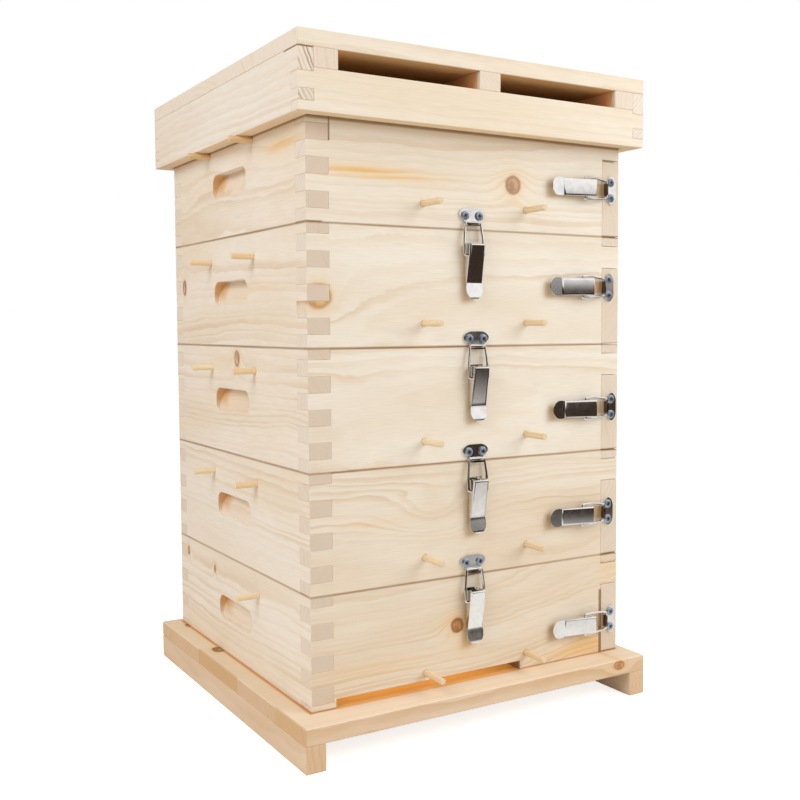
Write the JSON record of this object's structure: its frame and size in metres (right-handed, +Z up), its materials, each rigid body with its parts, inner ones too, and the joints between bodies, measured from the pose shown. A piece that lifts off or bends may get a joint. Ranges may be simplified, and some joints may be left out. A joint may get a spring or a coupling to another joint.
{
  "type": "stacked box beehive",
  "caption": "Tall square hive of stacked finger-jointed pine boxes with toggle latches, comb dowels, a low bee entrance, plank floor and ventilated lift-off roof.",
  "frame": {"origin": "middle of the whole outline seen from above, on the ground under the runners", "axes": "+Z up, -Y out of the front with the bee entrance, -X out of the wall with the hand holds"},
  "size_m": [0.321, 0.3326, 0.518],
  "materials": {
    "hive_pine": "planed, unpainted",
    "roof_pine": "sawn and planed, unpainted",
    "floor_pine": "planed, unpainted",
    "dowel_wood": "turned, unpainted",
    "nickel_steel": "bright nickel plate",
    "zinc_steel": "bright zinc plate"
  },
  "bodies": {
    "hive": {"box_1_front_wall": "hive_pine", "box_1_back_wall": "hive_pine", "box_1_left_wall": "hive_pine", "box_1_door": "hive_pine", "box_2_front_wall": "hive_pine", "box_2_back_wall": "hive_pine", "box_2_left_wall": "hive_pine", "box_2_door": "hive_pine", "box_3_front_wall": "hive_pine", "box_3_back_wall": "hive_pine", "box_3_left_wall": "hive_pine", "box_3_door": "hive_pine", "box_4_front_wall": "hive_pine", "box_4_back_wall": "hive_pine", "box_4_left_wall": "hive_pine", "box_4_door": "hive_pine", "box_5_front_wall": "hive_pine", "box_5_back_wall": "hive_pine", "box_5_left_wall": "hive_pine", "box_5_door": "hive_pine", "floor_planks": "floor_pine", "floor_runners": "floor_pine", "latch_base_plates": "nickel_steel", "latch_hook_plates": "nickel_steel", "latch_fasteners": "zinc_steel", "door_hinges": "zinc_steel"},
    "seam_latch_1_lever": {"seam_latch_1_lever": "nickel_steel"},
    "seam_latch_1_bail": {"seam_latch_1_bail": "nickel_steel"},
    "seam_latch_2_lever": {"seam_latch_2_lever": "nickel_steel"},
    "seam_latch_2_bail": {"seam_latch_2_bail": "nickel_steel"},
    "seam_latch_3_lever": {"seam_latch_3_lever": "nickel_steel"},
    "seam_latch_3_bail": {"seam_latch_3_bail": "nickel_steel"},
    "seam_latch_4_lever": {"seam_latch_4_lever": "nickel_steel"},
    "seam_latch_4_bail": {"seam_latch_4_bail": "nickel_steel"},
    "door_latch_1_lever": {"door_latch_1_lever": "nickel_steel"},
    "door_latch_1_bail": {"door_latch_1_bail": "nickel_steel"},
    "door_latch_2_lever": {"door_latch_2_lever": "nickel_steel"},
    "door_latch_2_bail": {"door_latch_2_bail": "nickel_steel"},
    "door_latch_3_lever": {"door_latch_3_lever": "nickel_steel"},
    "door_latch_3_bail": {"door_latch_3_bail": "nickel_steel"},
    "door_latch_4_lever": {"door_latch_4_lever": "nickel_steel"},
    "door_latch_4_bail": {"door_latch_4_bail": "nickel_steel"},
    "door_latch_5_lever": {"door_latch_5_lever": "nickel_steel"},
    "door_latch_5_bail": {"door_latch_5_bail": "nickel_steel"},
    "box_1_front_dowels": {"box_1_front_dowels": "dowel_wood"},
    "box_1_side_dowels": {"box_1_side_dowels": "dowel_wood"},
    "box_2_front_dowels": {"box_2_front_dowels": "dowel_wood"},
    "box_2_side_dowels": {"box_2_side_dowels": "dowel_wood"},
    "box_3_front_dowels": {"box_3_front_dowels": "dowel_wood"},
    "box_3_side_dowels": {"box_3_side_dowels": "dowel_wood"},
    "box_4_front_dowels": {"box_4_front_dowels": "dowel_wood"},
    "box_4_side_dowels": {"box_4_side_dowels": "dowel_wood"},
    "box_5_front_dowels": {"box_5_front_dowels": "dowel_wood"},
    "box_5_side_dowels": {"box_5_side_dowels": "dowel_wood"},
    "inner_cover": {"inner_cover": "roof_pine"},
    "roof": {"roof_deck": "roof_pine", "roof_front_board": "roof_pine", "roof_back_board": "roof_pine", "roof_side_boards": "roof_pine", "roof_battens": "roof_pine"}
  },
  "joints": [
    {"name": "seam_latch_1_lever_swing", "type": "hinge", "parent": "hive", "child": "seam_latch_1_lever", "pos_m": [-0.002, -0.14625, 0.3748], "axis": [-1, 0, 0], "range_deg": [0, 105]},
    {"name": "seam_latch_1_bail_swing", "type": "hinge", "parent": "seam_latch_1_lever", "child": "seam_latch_1_bail", "pos_m": [-0.002, -0.14484, 0.36845], "axis": [1, 0, 0], "range_deg": [0, 120.8]},
    {"name": "seam_latch_2_lever_swing", "type": "hinge", "parent": "hive", "child": "seam_latch_2_lever", "pos_m": [0.0018, -0.14625, 0.2797], "axis": [-1, 0, 0], "range_deg": [0, 105]},
    {"name": "seam_latch_2_bail_swing", "type": "hinge", "parent": "seam_latch_2_lever", "child": "seam_latch_2_bail", "pos_m": [0.0018, -0.14484, 0.27335], "axis": [1, 0, 0], "range_deg": [0, 120.8]},
    {"name": "seam_latch_3_lever_swing", "type": "hinge", "parent": "hive", "child": "seam_latch_3_lever", "pos_m": [0.0008, -0.14625, 0.1913], "axis": [-1, 0, 0], "range_deg": [0, 105]},
    {"name": "seam_latch_3_bail_swing", "type": "hinge", "parent": "seam_latch_3_lever", "child": "seam_latch_3_bail", "pos_m": [0.0008, -0.14484, 0.18495], "axis": [1, 0, 0], "range_deg": [0, 120.8]},
    {"name": "seam_latch_4_lever_swing", "type": "hinge", "parent": "hive", "child": "seam_latch_4_lever", "pos_m": [-0.002, -0.14625, 0.1039], "axis": [-1, 0, 0], "range_deg": [0, 105]},
    {"name": "seam_latch_4_bail_swing", "type": "hinge", "parent": "seam_latch_4_lever", "child": "seam_latch_4_bail", "pos_m": [-0.002, -0.14484, 0.09755], "axis": [1, 0, 0], "range_deg": [0, 120.8]},
    {"name": "door_latch_1_lever_swing", "type": "hinge", "parent": "hive", "child": "door_latch_1_lever", "pos_m": [0.114, -0.14625, 0.4268], "axis": [0, 0, 1], "range_deg": [0, 105]},
    {"name": "door_latch_1_bail_swing", "type": "hinge", "parent": "door_latch_1_lever", "child": "door_latch_1_bail", "pos_m": [0.10765, -0.14484, 0.4268], "axis": [0, 0, -1], "range_deg": [0, 120.8]},
    {"name": "door_latch_2_lever_swing", "type": "hinge", "parent": "hive", "child": "door_latch_2_lever", "pos_m": [0.112, -0.14625, 0.3456], "axis": [0, 0, 1], "range_deg": [0, 105]},
    {"name": "door_latch_2_bail_swing", "type": "hinge", "parent": "door_latch_2_lever", "child": "door_latch_2_bail", "pos_m": [0.10565, -0.14484, 0.3456], "axis": [0, 0, -1], "range_deg": [0, 120.8]},
    {"name": "door_latch_3_lever_swing", "type": "hinge", "parent": "hive", "child": "door_latch_3_lever", "pos_m": [0.1153, -0.14625, 0.2446], "axis": [0, 0, 1], "range_deg": [0, 105]},
    {"name": "door_latch_3_bail_swing", "type": "hinge", "parent": "door_latch_3_lever", "child": "door_latch_3_bail", "pos_m": [0.10895, -0.14484, 0.2446], "axis": [0, 0, -1], "range_deg": [0, 120.8]},
    {"name": "door_latch_4_lever_swing", "type": "hinge", "parent": "hive", "child": "door_latch_4_lever", "pos_m": [0.1125, -0.14625, 0.155], "axis": [0, 0, 1], "range_deg": [0, 105]},
    {"name": "door_latch_4_bail_swing", "type": "hinge", "parent": "door_latch_4_lever", "child": "door_latch_4_bail", "pos_m": [0.10615, -0.14484, 0.155], "axis": [0, 0, -1], "range_deg": [0, 120.8]},
    {"name": "door_latch_5_lever_swing", "type": "hinge", "parent": "hive", "child": "door_latch_5_lever", "pos_m": [0.1157, -0.14625, 0.061], "axis": [0, 0, 1], "range_deg": [0, 105]},
    {"name": "door_latch_5_bail_swing", "type": "hinge", "parent": "door_latch_5_lever", "child": "door_latch_5_bail", "pos_m": [0.10935, -0.14484, 0.061], "axis": [0, 0, -1], "range_deg": [0, 120.8]},
    {"name": "box_1_front_dowels_pull", "type": "slide", "parent": "hive", "child": "box_1_front_dowels", "axis": [0, -1, 0], "range_m": [0, 0.26]},
    {"name": "box_1_side_dowels_pull", "type": "slide", "parent": "hive", "child": "box_1_side_dowels", "axis": [-1, 0, 0], "range_m": [0, 0.26]},
    {"name": "box_2_front_dowels_pull", "type": "slide", "parent": "hive", "child": "box_2_front_dowels", "axis": [0, -1, 0], "range_m": [0, 0.26]},
    {"name": "box_2_side_dowels_pull", "type": "slide", "parent": "hive", "child": "box_2_side_dowels", "axis": [-1, 0, 0], "range_m": [0, 0.26]},
    {"name": "box_3_front_dowels_pull", "type": "slide", "parent": "hive", "child": "box_3_front_dowels", "axis": [0, -1, 0], "range_m": [0, 0.26]},
    {"name": "box_3_side_dowels_pull", "type": "slide", "parent": "hive", "child": "box_3_side_dowels", "axis": [-1, 0, 0], "range_m": [0, 0.26]},
    {"name": "box_4_front_dowels_pull", "type": "slide", "parent": "hive", "child": "box_4_front_dowels", "axis": [0, -1, 0], "range_m": [0, 0.26]},
    {"name": "box_4_side_dowels_pull", "type": "slide", "parent": "hive", "child": "box_4_side_dowels", "axis": [-1, 0, 0], "range_m": [0, 0.26]},
    {"name": "box_5_front_dowels_pull", "type": "slide", "parent": "hive", "child": "box_5_front_dowels", "axis": [0, -1, 0], "range_m": [0, 0.26]},
    {"name": "box_5_side_dowels_pull", "type": "slide", "parent": "hive", "child": "box_5_side_dowels", "axis": [-1, 0, 0], "range_m": [0, 0.26]},
    {"name": "inner_cover_lift", "type": "slide", "parent": "hive", "child": "inner_cover", "axis": [0, 0, 1], "range_m": [0, 0.08]},
    {"name": "roof_lift", "type": "slide", "parent": "inner_cover", "child": "roof", "axis": [0, 0, 1], "range_m": [0, 0.08]}
  ],
  "couplings": [
    {"joint": "seam_latch_1_bail_swing", "follows": "seam_latch_1_lever_swing", "ratio": 1.15},
    {"joint": "seam_latch_2_bail_swing", "follows": "seam_latch_2_lever_swing", "ratio": 1.15},
    {"joint": "seam_latch_3_bail_swing", "follows": "seam_latch_3_lever_swing", "ratio": 1.15},
    {"joint": "seam_latch_4_bail_swing", "follows": "seam_latch_4_lever_swing", "ratio": 1.15},
    {"joint": "door_latch_1_bail_swing", "follows": "door_latch_1_lever_swing", "ratio": 1.15},
    {"joint": "door_latch_2_bail_swing", "follows": "door_latch_2_lever_swing", "ratio": 1.15},
    {"joint": "door_latch_3_bail_swing", "follows": "door_latch_3_lever_swing", "ratio": 1.15},
    {"joint": "door_latch_4_bail_swing", "follows": "door_latch_4_lever_swing", "ratio": 1.15},
    {"joint": "door_latch_5_bail_swing", "follows": "door_latch_5_lever_swing", "ratio": 1.15}
  ]
}
